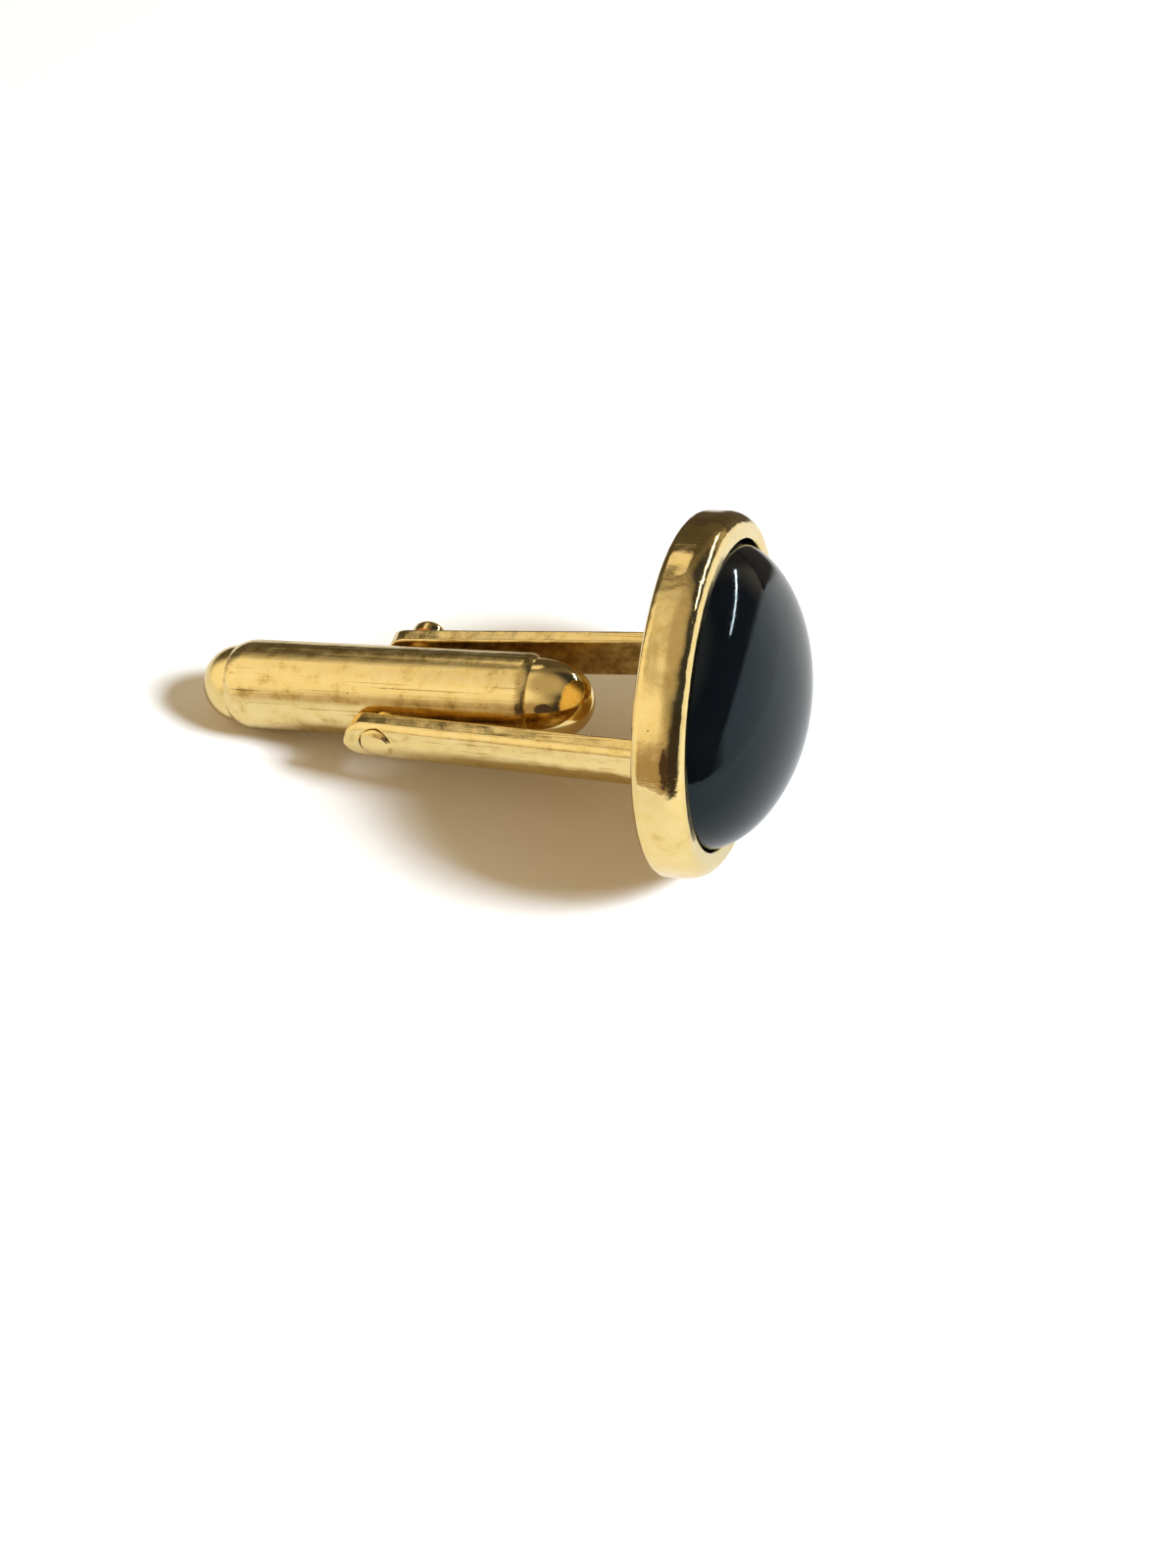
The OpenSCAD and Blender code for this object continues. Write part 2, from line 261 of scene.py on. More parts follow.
def bezelPiece():
    # (station, inset) round the wall: back edge, side, front rounding, rim, ledge and back edge again
    back, backR, front, reach = head["back"], head["backRound"], head["front"], head["frontReach"]
    rim, rimR, lowR, run = head["rim"], head["rimRound"], head["ledgeRound"], head["edgeRun"]
    start, steps = front - reach, head["steps"]
    profile = arc(back + backR, backR, backR, 180, 270, steps["back"])
    profile += [(back + head["sideFrom"], 0), (start - head["sideTo"], 0)]
    profile += [(start + reach * s, head["frontRound"] * (1 - c)) for c, s in quarter(steps["front"])]
    profile += [(front, head["frontRound"] + run), (front, rim - rimR - run)]
    profile += arc(front - rimR, rim - rimR, rimR, 0, 90, steps["rim"])
    profile += [(head["ledge"], rim), (head["ledge"], head["backRim"])]
    profile += arc(back + lowR, head["backRim"] - lowR, lowR, 90, 180, steps["ledge"])
    angles = anglesRound(head["sides"])
    points = []
    for station, inset in profile:
        for a in angles:
            r = edgeAt(a) - inset
            points.append(lay(station, r * math.cos(a), head["rise"] + r * math.sin(a)))
    faces = ringFaces(len(profile), head["sides"], True)
    return meshPiece("bezelShell", points, faces, "link")


bezel = bezelPiece()
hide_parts("bezel")
print("bezel", len(bezel.data.polygons))


def ruleTree(name, settings):
    # an empty rule with one named input for each setting
    tree = bpy.data.node_groups.new(name, "GeometryNodeTree")
    tree.interface.new_socket("Geometry", in_out="INPUT", socket_type="NodeSocketGeometry")
    for key, value in settings.items():
        socket = tree.interface.new_socket(key, in_out="INPUT", socket_type="NodeSocketFloat")
        socket.default_value = value
    tree.interface.new_socket("Geometry", in_out="OUTPUT", socket_type="NodeSocketGeometry")
    return tree, addNode(tree, "NodeGroupInput", (-1400, 0)).outputs


def layAndPaint(tree, source, material):
    # the rule's end: from millimetres in line with the post to the table, in one material
    lie = addNode(tree, "GeometryNodeTransform", (1300, 100))
    setInputs(lie, {"Rotation": (0, -tilt, 0), "Scale": (0.001, 0.001, 0.001), "Translation": pivot})
    link(tree, source, lie.inputs["Geometry"])
    whole = addNode(tree, "GeometryNodeRealizeInstances", (1450, 100))
    link(tree, lie.outputs[0], whole.inputs[0])
    paint = addNode(tree, "GeometryNodeSetMaterial", (1600, 100))
    paint.inputs["Material"].default_value = material
    link(tree, whole.outputs[0], paint.inputs["Geometry"])
    link(tree, paint.outputs[0], addNode(tree, "NodeGroupOutput", (1750, 100)).inputs[0])


def grow(name, tree, settings, body, sharp=40):
    # runs a rule once with its named inputs and keeps the plain mesh
    seed = addObject(name + "Seed", bpy.data.meshes.new(name + "Seed"))
    mod = seed.modifiers.new("rule", "NODES")
    mod.node_group = tree
    for item in tree.interface.items_tree:
        if item.in_out == "INPUT" and item.name in settings:
            mod[item.identifier] = settings[item.name]
    mesh = modifiedMesh(seed)
    seed.modifiers.remove(mod)
    bpy.data.objects.remove(seed)
    mesh.name = name
    cleanMesh(mesh)
    return addPiece(name, mesh, body, sharp)


# the stone is a dome whose rings follow one rule
stone = {"Mean Radius": meanR, "Oval Share": ovalShare, "Quad Share": head["quad"], "Inset": 1.45,
         "Bed": 16.7, "Girdle": 0.4, "Bevel": 0.15, "Dome Height": 4.4, "Dome Drop": 0.6,
         "Power": 1.9, "Rise": head["rise"]}
stoneGrid = {"around": 289, "rings": 136, "base": 0.35, "edge": 0.25, "merge": 0.0005}


def domeTree(settings, grid, material):
    tree, given = ruleTree("domeRule", settings)
    sheet = addNode(tree, "GeometryNodeMeshGrid", (-1400, 300))
    setInputs(sheet, {"Size X": 1, "Size Y": 1, "Vertices X": grid["around"], "Vertices Y": grid["rings"]})
    spot = addNode(tree, "ShaderNodeSeparateXYZ", (-1200, 100))
    link(tree, addNode(tree, "GeometryNodeInputPosition", (-1400, 100)).outputs[0], spot.inputs[0])

    def m(how, a, b=None, at=(0, 0)):
        return mathNode(tree, how, at, a, b)

    angle = m("MULTIPLY", m("ADD", spot.outputs[0], 0.5, (-1000, 250)), 2 * math.pi, (-800, 250))
    # w is -base at the underside's middle, -edge at its rim, 0 at the girdle's top and 1 at the dome's
    along = m("MULTIPLY", m("ADD", spot.outputs[1], 0.5, (-1000, 0)), 1 + grid["base"], (-800, 0))
    w = m("SUBTRACT", along, grid["base"], (-600, 0))
    up = m("MULTIPLY", m("MAXIMUM", w, 0, (-400, 100)), math.pi / 2, (-200, 100))
    down = m("MAXIMUM", m("MULTIPLY", w, -1, (-400, -100)), 0, (-200, -100))
    share = m("DIVIDE", 2, given["Power"], (-600, -300))
    lift = m("POWER", m("SINE", up, None, (0, 200)), share, (200, 200))
    size = m("POWER", m("MAXIMUM", m("COSINE", up, None, (0, 50)), 0, (100, 50)), share, (200, 50))
    under = m("MULTIPLY", m("SUBTRACT", down, grid["edge"]), 1 / (grid["base"] - grid["edge"]))
    base = m("SUBTRACT", 1, m("MAXIMUM", under, 0), (200, -100))
    side = m("MULTIPLY", m("MINIMUM", m("MULTIPLY", down, 1 / grid["edge"]), 1), given["Girdle"], (200, -200))
    x = m("ADD", m("SUBTRACT", m("ADD", given["Bed"], given["Girdle"]), side),
          m("MULTIPLY", given["Dome Height"], lift), (500, 100))
    bevel = m("MAXIMUM", m("ADD", m("SUBTRACT", side, given["Girdle"]), given["Bevel"]), 0, (500, -200))
    wave = m("ADD", m("ADD", m("MULTIPLY", m("COSINE", m("MULTIPLY", angle, 2)), given["Oval Share"]),
                      m("MULTIPLY", m("COSINE", m("MULTIPLY", angle, 4)), given["Quad Share"])), 1, (0, 500))
    edge = m("SUBTRACT", m("SUBTRACT", m("MULTIPLY", wave, given["Mean Radius"]), given["Inset"]), bevel,
             (300, 500))
    r = m("MULTIPLY", m("MULTIPLY", edge, size), base, (500, 500))
    middle = m("SUBTRACT", given["Rise"], m("MULTIPLY", given["Dome Drop"], lift), (500, 300))
    y = m("MULTIPLY", r, m("COSINE", angle), (700, 400))
    z = m("ADD", m("MULTIPLY", r, m("SINE", angle)), middle, (700, 200))
    place = addNode(tree, "ShaderNodeCombineXYZ", (900, 200))
    for socket, value in zip(place.inputs, (x, y, z)):
        link(tree, value, socket)
    move = addNode(tree, "GeometryNodeSetPosition", (1000, 100))
    link(tree, sheet.outputs["Mesh"], move.inputs["Geometry"])
    link(tree, place.outputs[0], move.inputs["Position"])
    shut = addNode(tree, "GeometryNodeMergeByDistance", (1150, 100))
    shut.inputs["Distance"].default_value = grid["merge"]
    link(tree, move.outputs[0], shut.inputs["Geometry"])
    layAndPaint(tree, shut.outputs[0], material)
    return tree


onyxMat = bpy.data.materials.new("onyxPolish")
steelMat = bpy.data.materials.new("springSteel")
gem = grow("stoneDome", domeTree(stone, stoneGrid, onyxMat), stone, "link")
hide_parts("stone")
print("stone", len(gem.data.polygons))


# the arms are flat inside, crowned outside and half-round at the pivot's end
arm = {"gap": 5.6, "splay": math.radians(3), "h": 2.3, "t": 1.25, "edgeT": 0.95, "reach": 1.8,
       "bevel": 0.12, "round": 0.2, "end": 15.6, "overrun": 1.01, "sink": 0.12, "sinkR": 1.08,
       "holeR": 0.77, "holeSpan": (2, 5), "acrossSteps": 14, "endSteps": 28, "lengthSteps": 60, "sharp": 35}
# the pin has a domed head on the far arm, a peened end on the near one and four flats between
pin = {"r": 0.75, "head": 1.0, "rise": 1.0, "edge": 0.4, "flats": 0.6, "flatHalf": 1.398,
       "peenR": 0.9, "peenIn": 0.12, "neckIn": 0.14, "slitR": 0.92, "slitAt": (-0.03, 0.12), "slitIn": 0.16,
       "edgeSteps": 4, "domeSteps": 24, "sides": 120}
# the peened end is uneven, with a lip at its edge and burr lines on its right side, each of them by
# its share of the radius, its width and its strength
peen = {"height": 0.14, "power": 2.4, "proud": 0.012, "wobble": 0.012, "lip": 0.03, "lipFrom": 0.94,
        "burr": 0.035, "burrTurn": 0.1, "burrs": ((0.84, 0.016, 1.0), (0.93, 0.012, 0.6)),
        "rings": (0, 0.12, 0.25, 0.4, 0.55, 0.68, 0.76, 0.8, 0.825, 0.85, 0.875, 0.9, 0.92, 0.94, 0.96,
                  0.98, 0.99, 1.0)}
crown = arm["t"] - arm["edgeT"]
crownR = (arm["h"] ** 2 / 4 + crown ** 2) / (2 * crown)
seatY = arm["gap"] / 2 + arm["t"] * math.cos(arm["splay"]) - arm["sink"]


def crownAt(z):
    return arm["t"] - crownR + math.sqrt(crownR ** 2 - z * z)


def armFace(x, z):
    # how far the arm's crowned face lies from the post's axis plane
    return arm["gap"] / 2 + x * math.tan(arm["splay"]) + crownAt(z) / math.cos(arm["splay"])


def armSection(h):
    # one section of the bar at half-height h: bevelled inner edges, rounded outer edges
    most, sag, run, lead = 0.45, 0.13, 0.03, 1.3  # largest share of h, then how the corners' points lie
    b, e = min(arm["bevel"], h * most), min(arm["round"], h * most)
    top = crownAt(h)
    half = [(0, h - b * lead), (0, h - b), (b * sag, h - b * 0.5), (b * 0.5, h - b * sag), (b, h)]
    half += [(b + run, h), (top - e - run, h), (top - e, h), (top - e * 0.5, h - e * sag)]
    half += [(top - e * sag, h - e * 0.5), (crownAt(h - e), h - e)]
    n = arm["acrossSteps"]
    across = [(crownAt((h - e) * k / n), (h - e) * k / n) for k in range(n - 1, 0, -1)]
    upper = half + across
    lower = [(t, -z) for t, z in reversed(upper)]
    return upper + [(arm["t"], 0)] + lower


def armPiece(name, side):
    r, c, s = arm["h"] / 2, math.cos(arm["splay"]), math.sin(arm["splay"])
    stations = [r - arm["reach"] - r * cosine for cosine, _ in quarter(arm["endSteps"])[1:]]
    last, steps = stations[-1], arm["lengthSteps"]
    stations += [last + (arm["end"] * arm["overrun"] - last) * k / steps for k in range(1, steps + 1)]
    points = []
    for x in stations:
        into = min(x + arm["reach"] - r, 0)
        section = armSection(math.sqrt(max(r * r - into * into, 1e-6)))
        for t, z in section:
            px, py = x * c - t * s, arm["gap"] / 2 + x * s + t * c
            if px > arm["end"]:  # the bar ends flat on the back plate
                px, py = arm["end"], arm["gap"] / 2 + (arm["end"] + t * s) / c * s + t * c
            points.append(lay(px, side * py, z))
    n = len(section)
    faces = ringFaces(len(stations), n) + [tuple(range(n)), tuple(range(len(points) - n, len(points)))]
    piece = meshPiece(name, points, faces, "link", arm["sharp"])
    if side > 0:
        seat = rodCutter(arm["sinkR"], seatY, seatY + 1)
    else:  # on this side the pin is peened over and only a slit stays open at the top
        seat = rodCutter(pin["slitR"], -seatY + pin["slitIn"], -seatY - 1, pin["slitAt"])
    cutWith(piece, seat, arm["sharp"])
    inner, outer = arm["holeSpan"]
    cutWith(piece, rodCutter(arm["holeR"], side * inner, side * outer), arm["sharp"])
    return piece


def peenPoints(angles):
    # rings of the peened end, from its middle to its edge
    points = []
    for f in peen["rings"]:
        crest = peen["height"] * (1 - f ** peen["power"]) + peen["proud"]
        crest -= peen["lip"] * max(f - peen["lipFrom"], 0) / (1 - peen["lipFrom"])
        ridge = sum(share * math.exp(-((f - at) / width) ** 2) for at, width, share in peen["burrs"])
        for a in angles:
            r = pin["peenR"] * f * (1 + peen["wobble"] * math.sin(3 * a + 1) * f)
            x, z = r * math.cos(a), r * math.sin(a)
            lift = crest - peen["burr"] * max(math.cos(a + peen["burrTurn"]), 0) ** 0.5 * ridge
            points.append(lay(x, -armFace(x, z) - lift, z))
    return points


def squaredR(a):
    # how far the stretch with the flats reaches at an angle
    offFlat = (a + math.pi / 4) % (math.pi / 2) - math.pi / 4
    return min(pin["r"], pin["flats"] / math.cos(offFlat))


def pinPiece():
    # (station, radius) rows from the peened end to the domed head, with no radius where it is squared
    half, headR, edge = pin["flatHalf"], pin["head"], pin["edge"]
    rows = [(-seatY + pin["peenIn"], pin["peenR"]), (-seatY + pin["neckIn"], pin["r"]), (-half, pin["r"]),
            (-half, None), (half, None), (half, pin["r"]), (seatY, pin["r"]), (seatY, headR)]
    rise = arm["sink"] + pin["rise"] - edge
    rows += [(seatY + edge * k / pin["edgeSteps"], headR) for k in range(1, pin["edgeSteps"])]
    rows += [(seatY + edge + rise * s, headR * c) for c, s in quarter(pin["domeSteps"])]
    angles = anglesRound(pin["sides"])
    points = peenPoints(angles)
    for y, r in rows:
        for a in angles:
            reach = squaredR(a) if r is None else r
            points.append(lay(reach * math.cos(a), y, reach * math.sin(a)))
    faces = ringFaces(len(peen["rings"]) + len(rows), pin["sides"])
    return meshPiece("pivotRivet", points, faces, "link")


nearArm = armPiece("nearArmBar", -1)
farArm = armPiece("farArmBar", 1)
print("arms", len(nearArm.data.polygons))
rivet = pinPiece()
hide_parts("near_arm")
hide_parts("far_arm")
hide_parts("pivot_pin")
print("pivot pin", len(rivet.data.polygons))


# the bullet is a rolled tube with a cap at each end
bullet = {"r": 2.4, "bore": 2.0, "spigot": 1.98, "nose": 9.4, "tail": 7.6, "noseRoll": 1.0,
          "tailRoll": 0.6, "noseDrop": 0.28, "tailDrop": 0.2, "noseR": 2.07, "tailR": 2.185,
          "tailLen": 2.9, "spigotLen": 1.3, "pocketR": 1.78, "pocket": 8.425, "hole": 0.78,
          "noseSteps": 14, "tailSteps": 12, "lengthSteps": 64, "boreSteps": 16, "domeSteps": 40, "sides": 240}


def curl(roll, drop, steps):
    # (distance along, radius lost) on a rolled edge that starts level
    r = (roll ** 2 + drop ** 2) / (2 * drop)
    angles = [math.asin(roll / r) * k / steps for k in range(steps + 1)]
    return [(r * math.sin(a), r * (1 - math.cos(a))) for a in angles]


def bulletPieces():
    nose, tail, bore, spigot = -bullet["nose"], bullet["tail"], bullet["bore"], bullet["spigot"]
    sides, dome = bullet["sides"], quarter(bullet["domeSteps"])
    noseFlat, tailFlat = nose + bullet["noseRoll"], tail - bullet["tailRoll"]
    noseCurl = curl(bullet["noseRoll"], bullet["noseDrop"], bullet["noseSteps"])
    noseCurl = [(noseFlat - along, bullet["r"] - lost) for along, lost in reversed(noseCurl)]
    tailCurl = curl(bullet["tailRoll"], bullet["tailDrop"], bullet["tailSteps"])
    tailCurl = [(tailFlat + along, bullet["r"] - lost) for along, lost in tailCurl]
    steps = bullet["lengthSteps"]
    straight = [(noseFlat + (tailFlat - noseFlat) * k / steps, bullet["r"]) for k in range(1, steps)]
    steps = bullet["boreSteps"]
    inside = [(tail - (tail - nose) * k / steps, bore) for k in range(1, steps)]
    tube = [(nose, bore)] + noseCurl + straight + tailCurl + [(tail, bore)] + inside
    barrel = lathe("barrelTube", tube, sides, "bullet", closed=True)
    cutWith(barrel, rodCutter(bullet["hole"], -3, 3))
    noseEnd = nose + bullet["spigotLen"]
    noseSide = [(nose - bullet["noseR"] * c, bullet["noseR"] * s) for c, s in dome]
    noseSide += [(nose, spigot), (noseEnd, spigot), (noseEnd, bullet["pocketR"]),
                 (-bullet["pocket"], bullet["pocketR"]), (-bullet["pocket"], 0)]
    noseCap = lathe("noseCapDome", noseSide, sides, "bullet")
    tailEnd = tail - bullet["spigotLen"]
    tailSide = [(tailEnd, 0), (tailEnd, spigot), (tail, spigot)]
    tailSide += [(tail + bullet["tailLen"] * s, bullet["tailR"] * c) for c, s in dome]
    tailCap = lathe("tailCapDome", tailSide, sides, "bullet")
    return barrel, noseCap, tailCap


barrel, noseCap, tailCap = bulletPieces()
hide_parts("barrel")
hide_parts("nose_cap")
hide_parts("tail_cap")
print("bullet", len(barrel.data.polygons))


# the spring is a wire along a helix
coil = {"Turns": 5.5, "Radius": 1.48, "Wire": 0.15, "Length": 5.525, "Start": -8.255}
coilGrid = {"perTurn": 40, "around": 14}


def coilTree(settings, grid, material):
    tree, given = ruleTree("coilPath", settings)
    helix = addNode(tree, "GeometryNodeCurveSpiral", (-500, 200))
    helix.inputs["Resolution"].default_value = grid["perTurn"]
    for key, socket in (("Turns", "Rotations"), ("Radius", "Start Radius"), ("Radius", "End Radius"),
                        ("Length", "Height")):
        link(tree, given[key], helix.inputs[socket])
    wire = addNode(tree, "GeometryNodeCurvePrimitiveCircle", (-500, -100))
    wire.inputs["Resolution"].default_value = grid["around"]
    link(tree, given["Wire"], wire.inputs["Radius"])
    skin = addNode(tree, "GeometryNodeCurveToMesh", (-250, 100))
    skin.inputs["Fill Caps"].default_value = True
    link(tree, helix.outputs[0], skin.inputs["Curve"])
    link(tree, wire.outputs[0], skin.inputs["Profile Curve"])
    turn = addNode(tree, "GeometryNodeTransform", (0, 100))
    turn.inputs["Rotation"].default_value = (0, math.pi / 2, 0)
    start = addNode(tree, "ShaderNodeCombineXYZ", (-250, -200))
    link(tree, given["Start"], start.inputs[0])
    link(tree, start.outputs[0], turn.inputs["Translation"])
    link(tree, skin.outputs[0], turn.inputs["Geometry"])
    layAndPaint(tree, turn.outputs[0], material)
    return tree


springCoil = grow("springCoil", coilTree(coil, coilGrid, steelMat), coil, "bullet")
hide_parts("detent_spring")
print("spring", len(springCoil.data.polygons))


# wear that all the plated metal shares: each finish sets how much of the four kinds it has
wearKinds = ("Streaks", "Waves", "Pits", "Haze")
even = (1.0, 1.0, 1.0)
wearNoise = {  # scale, stretch, detail and roughness
    "drawn": (1.0, (0.04, 3.2, 3.2), 4.0, 0.6),  # drawing marks along the post
    "hair": (1.0, (0.10, 9.0, 9.0), 1.0, 0.5),  # single deep lines
    "cross": (1.0, (9.0, 1.2, 1.2), 2.0, 0.5),  # rubs across
    "swell": (0.42, even, 2.0, 0.5),  # hand polishing
    "dimple": (1.7, even, 3.0, 0.6),  # dents from handling
    "haze": (1.1, even, 5.0, 0.65),
}
wearLines = {"hair": (0.66, 0.69), "cross": (0.70, 0.75), "crossShare": 0.5}
wearPits = {"scale": 1.5, "inner": 0.05, "outer": 0.075, "kept": 0.62}
# what each mark does to the tone, the dullness and, in millimetres, the height
wearTone = {"streak": 0.5, "pit": 0.6, "line": 0.25}
wearDull = {"level": 0.35, "line": 0.5, "pit": 0.5}
wearHeight = {"streak": 0.012, "line": -0.006, "swell": 0.12, "dimple": 0.014, "pit": 0.012}


def wearGroup():
    tree = bpy.data.node_groups.new("platingWear", "ShaderNodeTree")
    face = tree.interface
    face.new_socket("Vector", in_out="INPUT", socket_type="NodeSocketVector")
    for key in wearKinds:
        face.new_socket(key, in_out="INPUT", socket_type="NodeSocketFloat").default_value = 0.5
    for key in ("Tone", "Dull", "Height"):
        face.new_socket(key, in_out="OUTPUT", socket_type="NodeSocketFloat")
    given = addNode(tree, "NodeGroupInput", (-1400, 0)).outputs
    out = addNode(tree, "NodeGroupOutput", (1000, 0))

    def noise(row, kind):
        scale, stretch, detail, rough = wearNoise[kind]
        spread = addNode(tree, "ShaderNodeMapping", (-1100, row))
        spread.inputs["Scale"].default_value = stretch
        link(tree, given["Vector"], spread.inputs["Vector"])
        return noiseNode(tree, (-900, row), spread.outputs[0], scale, detail, rough)

    def m(how, a, b=None, at=(0, 0)):
        return mathNode(tree, how, at, a, b)

    def lines(row, kind):
        low, high = wearLines[kind]
        stops = [(0.0, 0.0), (low, 0.0), (high, 1.0), (1.0, 1.0)]
        return rampNode(tree, (-650, row), noise(row, kind), stops)

    drawn, hair, cross = noise(500, "drawn"), lines(250, "hair"), lines(0, "cross")
    swell, dimple, haze = noise(-250, "swell"), noise(-380, "dimple"), noise(-500, "haze")
    cells = addNode(tree, "ShaderNodeTexVoronoi", (-900, -750))
    setInputs(cells, {"Scale": wearPits["scale"], "Randomness": 1.0})
    link(tree, given["Vector"], cells.inputs["Vector"])
    pit = rampNode(tree, (-650, -750), cells.outputs["Distance"],
                   [(0.0, 1.0), (wearPits["inner"], 1.0), (wearPits["outer"], 0.0), (1.0, 0.0)])
    chosen = addNode(tree, "ShaderNodeSeparateXYZ", (-650, -900))
    link(tree, cells.outputs["Color"], chosen.inputs[0])
    kept = m("GREATER_THAN", chosen.outputs[0], wearPits["kept"], (-450, -900))
    pit = m("MULTIPLY", pit, kept, (-300, -800))
    scratch = m("ADD", hair, m("MULTIPLY", cross, wearLines["crossShare"]))
    scratch = m("MULTIPLY", scratch, given["Streaks"], (-300, 200))
    pits = m("MULTIPLY", pit, given["Pits"], (-100, -700))
    streak = m("MULTIPLY", m("SUBTRACT", drawn, 0.5), given["Streaks"], (-300, 500))

    tone = m("ADD", m("MULTIPLY", m("SUBTRACT", haze, 0.5), given["Haze"]), 0.5, (0, 400))
    tone = m("ADD", tone, m("MULTIPLY", streak, wearTone["streak"]), (100, 400))
    tone = m("SUBTRACT", tone, m("MULTIPLY", pits, wearTone["pit"]), (200, 400))
    tone = m("SUBTRACT", tone, m("MULTIPLY", scratch, wearTone["line"]), (400, 400))
    dull = m("MULTIPLY", m("SUBTRACT", haze, wearDull["level"]), given["Haze"], (100, 0))
    dull = m("ADD", dull, m("MULTIPLY", scratch, wearDull["line"]), (200, 0))
    dull = m("MAXIMUM", m("ADD", dull, m("MULTIPLY", pits, wearDull["pit"])), 0, (400, 0))
    height = m("ADD", m("MULTIPLY", streak, wearHeight["streak"]),
               m("MULTIPLY", scratch, wearHeight["line"]), (200, -300))
    for source, kind, column in ((swell, "swell", 400), (dimple, "dimple", 500)):
        wave = m("MULTIPLY", m("MULTIPLY", source, given["Waves"]), wearHeight[kind], (column, -450))
        height = m("ADD", height, wave, (column, -300))
    height = m("SUBTRACT", height, m("MULTIPLY", pits, wearHeight["pit"]), (600, -300))
    for key, socket in (("Tone", tone), ("Dull", dull), ("Height", height)):
        link(tree, socket, out.inputs[key])
    return tree


wear = wearGroup()


def postCoordinates(tree, shift=(0, 0, 0)):
    # object coordinates in millimetres, turned in line with the post
    coords = addNode(tree, "ShaderNodeTexCoord", (-1200, 0))
    turn = addNode(tree, "ShaderNodeMapping", (-1000, 0))
    setInputs(turn, {"Rotation": (0, tilt, 0), "Scale": (1000, 1000, 1000), "Location": shift})
    link(tree, coords.outputs["Object"], turn.inputs["Vector"])
    return turn.outputs[0]


gapShadeReach = (-0.0015, -0.0025)  # metres from the middle plane, times how squarely a face looks inward


def gapShadeShare(tree):
    # 1 on the arms' sides toward the bullet: their colour is darkened there as painted shade of the narrow
    # gap, and they are rougher
    coords = addNode(tree, "ShaderNodeTexCoord", (-1400, -400))
    across = []
    for row, key in ((-350, "Object"), (-500, "Normal")):
        split = addNode(tree, "ShaderNodeSeparateXYZ", (-1200, row))
        link(tree, coords.outputs[key], split.inputs[0])
        across.append(split.outputs[1])
    inward = mathNode(tree, "MULTIPLY", (-1000, -450), *across)
    return rangeNode(tree, (-800, -450), inward, *gapShadeReach, "LINEAR")


def platedMetal(name, settings):
    mat = bpy.data.materials.new(name)
    tree, shader = openMaterial(mat)
    shader.inputs["Metallic"].default_value = 1.0
    group = addNode(tree, "ShaderNodeGroup", (-700, 0), node_tree=wear)
    setInputs(group, {key: settings[key] for key in wearKinds})
    link(tree, postCoordinates(tree, settings["shift"]), group.inputs["Vector"])
    tone, dull = group.outputs["Tone"], group.outputs["Dull"]
    # painted shade: the arms' sides in the gap by the bullet get a darker tone
    if "inside" in settings:
        inside = gapShadeShare(tree)
        darker = mathNode(tree, "MULTIPLY", (-650, 350), inside, settings["inside"])
        tone = mathNode(tree, "SUBTRACT", (-500, 350), tone, darker)
        dull = mathNode(tree, "ADD", (-500, -300), dull, inside)
    stops = [(0.0, settings["dark"]), (0.42, settings["colour"]), (0.7, settings["pale"])]
    link(tree, rampNode(tree, (-300, 250), tone, stops), shader.inputs["Base Color"])
    low, high = settings["roughness"]
    rough = mathNode(tree, "MULTIPLY", (-200, 0), dull, high - low)
    link(tree, mathNode(tree, "ADD", (0, 0), rough, low, True), shader.inputs["Roughness"])
    bumpShader(tree, group.outputs["Height"], 1.0, 0.001, shader)
    return mat


gold = {"colour": (0.90, 0.672, 0.262), "pale": (0.94, 0.74, 0.34), "dark": (0.38, 0.24, 0.07)}
tubeGold = platedMetal("tubeGold", {**gold, "roughness": (0.11, 0.34), "Streaks": 1.15, "Waves": 0.35,
                                    "Pits": 1.0, "Haze": 1.7, "shift": (0, 0, 0)})
capGold = platedMetal("capGold", {**gold, "roughness": (0.10, 0.40), "Streaks": 0.25, "Waves": 0.25,
                                  "Pits": 0.6, "Haze": 0.8, "shift": (4, 9, 1)})
tipGold = platedMetal("tipGold", {**gold, "roughness": (0.06, 0.22), "Streaks": 0.1, "Waves": 0.4,
                                  "Pits": 0.8, "Haze": 0.5, "shift": (7, 2, 5)})
# the arms' inside share darkens their sides toward the bullet as painted shade
armGold = platedMetal("armGold", {**gold, "roughness": (0.09, 0.28), "Streaks": 0.8, "Waves": 0.7,
                                  "Pits": 0.6, "Haze": 1.2, "shift": (2, 3, 8), "inside": 0.36})
headGold = platedMetal("headGold", {**gold, "roughness": (0.08, 0.26), "Streaks": 0.12, "Waves": 1.1,
                                    "Pits": 0.8, "Haze": 1.0, "shift": (1, 6, 3)})
plateGold = platedMetal("plateGold", {**gold, "colour": (0.82, 0.58, 0.21), "pale": (0.88, 0.66, 0.28),
                                      "roughness": (0.14, 0.38), "Streaks": 0.4, "Waves": 0.35,
                                      "Pits": 0.9, "Haze": 1.2, "shift": (5, 1, 9)})
onyx = {"dark": (0.0013, 0.0013, 0.0013), "cloud": (0.003, 0.0036, 0.0034), "cloudScale": 0.35,
        "fineScale": 2.5, "ior": 1.41, "sheen": (0.72, 0.93, 1.0), "rough": (0.035, 0.11), "bump": 0.12}
steel = {"metal": 1.0, "grain": 5.0, "dark": (0.42, 0.43, 0.45), "pale": (0.62, 0.63, 0.65),
         "rough": (0.24, 0.40), "bump": 0.5}
cement = {"metal": 0.0, "grain": 3.0, "dark": (0.16, 0.15, 0.13), "pale": (0.36, 0.34, 0.31),
          "rough": (0.77, 0.93), "bump": 0.5}
grainDepth = 0.00002  # metres, of the bump on these three


